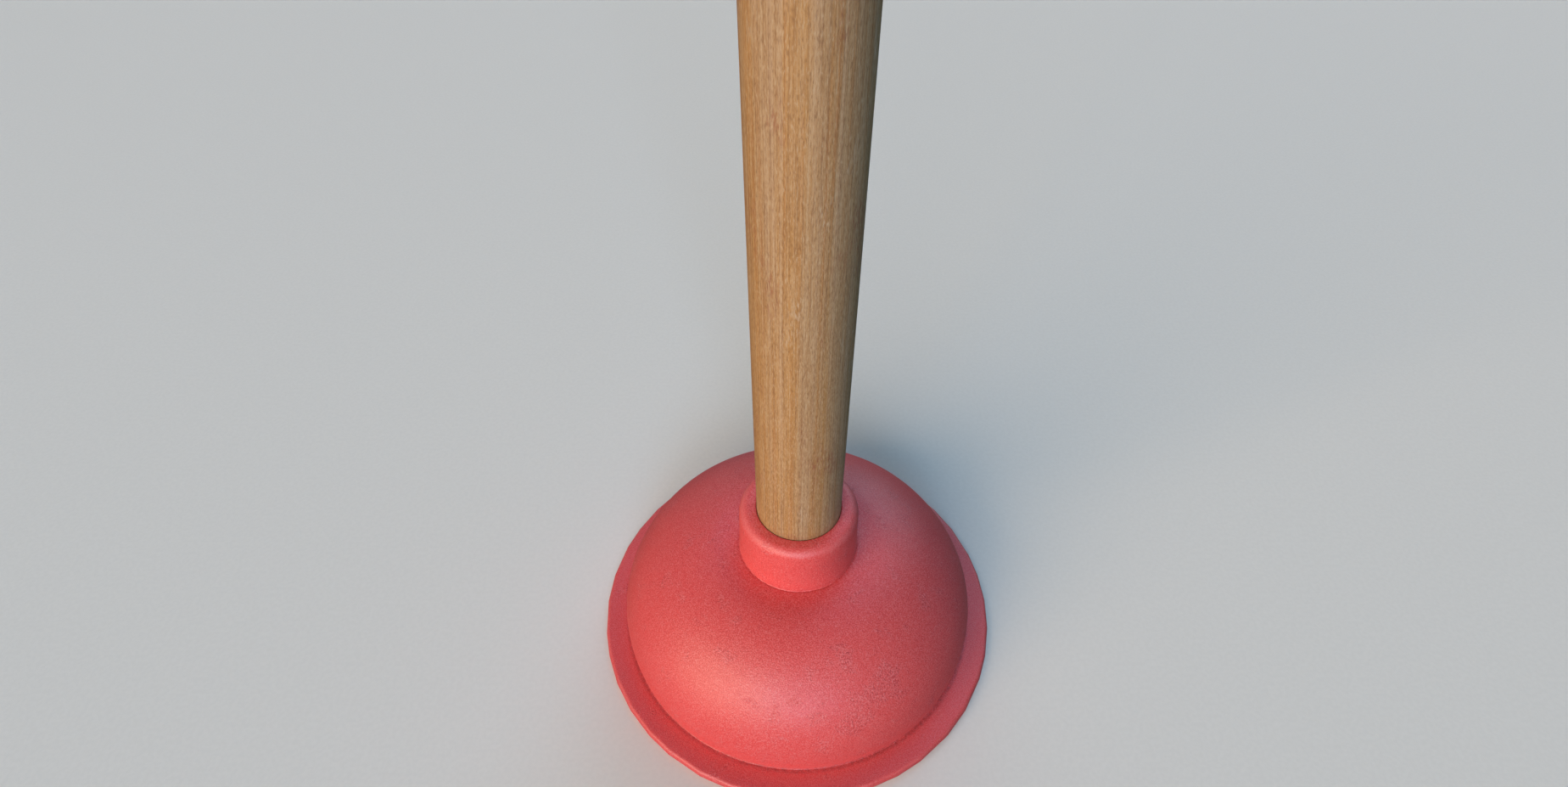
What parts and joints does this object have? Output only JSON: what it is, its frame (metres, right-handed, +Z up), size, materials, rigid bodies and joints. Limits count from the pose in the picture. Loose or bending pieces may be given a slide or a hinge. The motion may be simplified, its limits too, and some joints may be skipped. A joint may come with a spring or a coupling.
{
  "type": "toilet plunger",
  "caption": "Force-cup plunger: a red rubber bell with a flat lip and a short hub, on a plain round wooden handle that pushes the bell down against its own spring.",
  "frame": {"origin": "on the handle's axis, at the level of the lip's underside, where the cup rests on the floor", "axes": "+Z up along the handle, from the cup to the handle's domed end; the object is round about +Z, so X and Y are free"},
  "size_m": [0.1388, 0.1388, 0.4911],
  "materials": {
    "red_rubber": "matt moulded rubber with a fine grain and a soft sheen",
    "handle_wood": "sanded pale hardwood with fine straight grain and a thin satin varnish",
    "screw_steel": "zinc plated",
    "washer_steel": "zinc plated"
  },
  "bodies": {
    "cup": {"rubber_cup": "red_rubber"},
    "handle": {"wooden_handle": "handle_wood", "fixing_screw": "screw_steel", "fixing_washer": "washer_steel"}
  },
  "joints": [
    {"name": "plunge", "type": "slide", "parent": "cup", "child": "handle", "axis": [0, 0, -1], "range_m": [-0.005, 0.02], "stiffness_N_per_m": 2500, "springref_m": -0.0007, "deforming": ["rubber_cup"]}
  ]
}
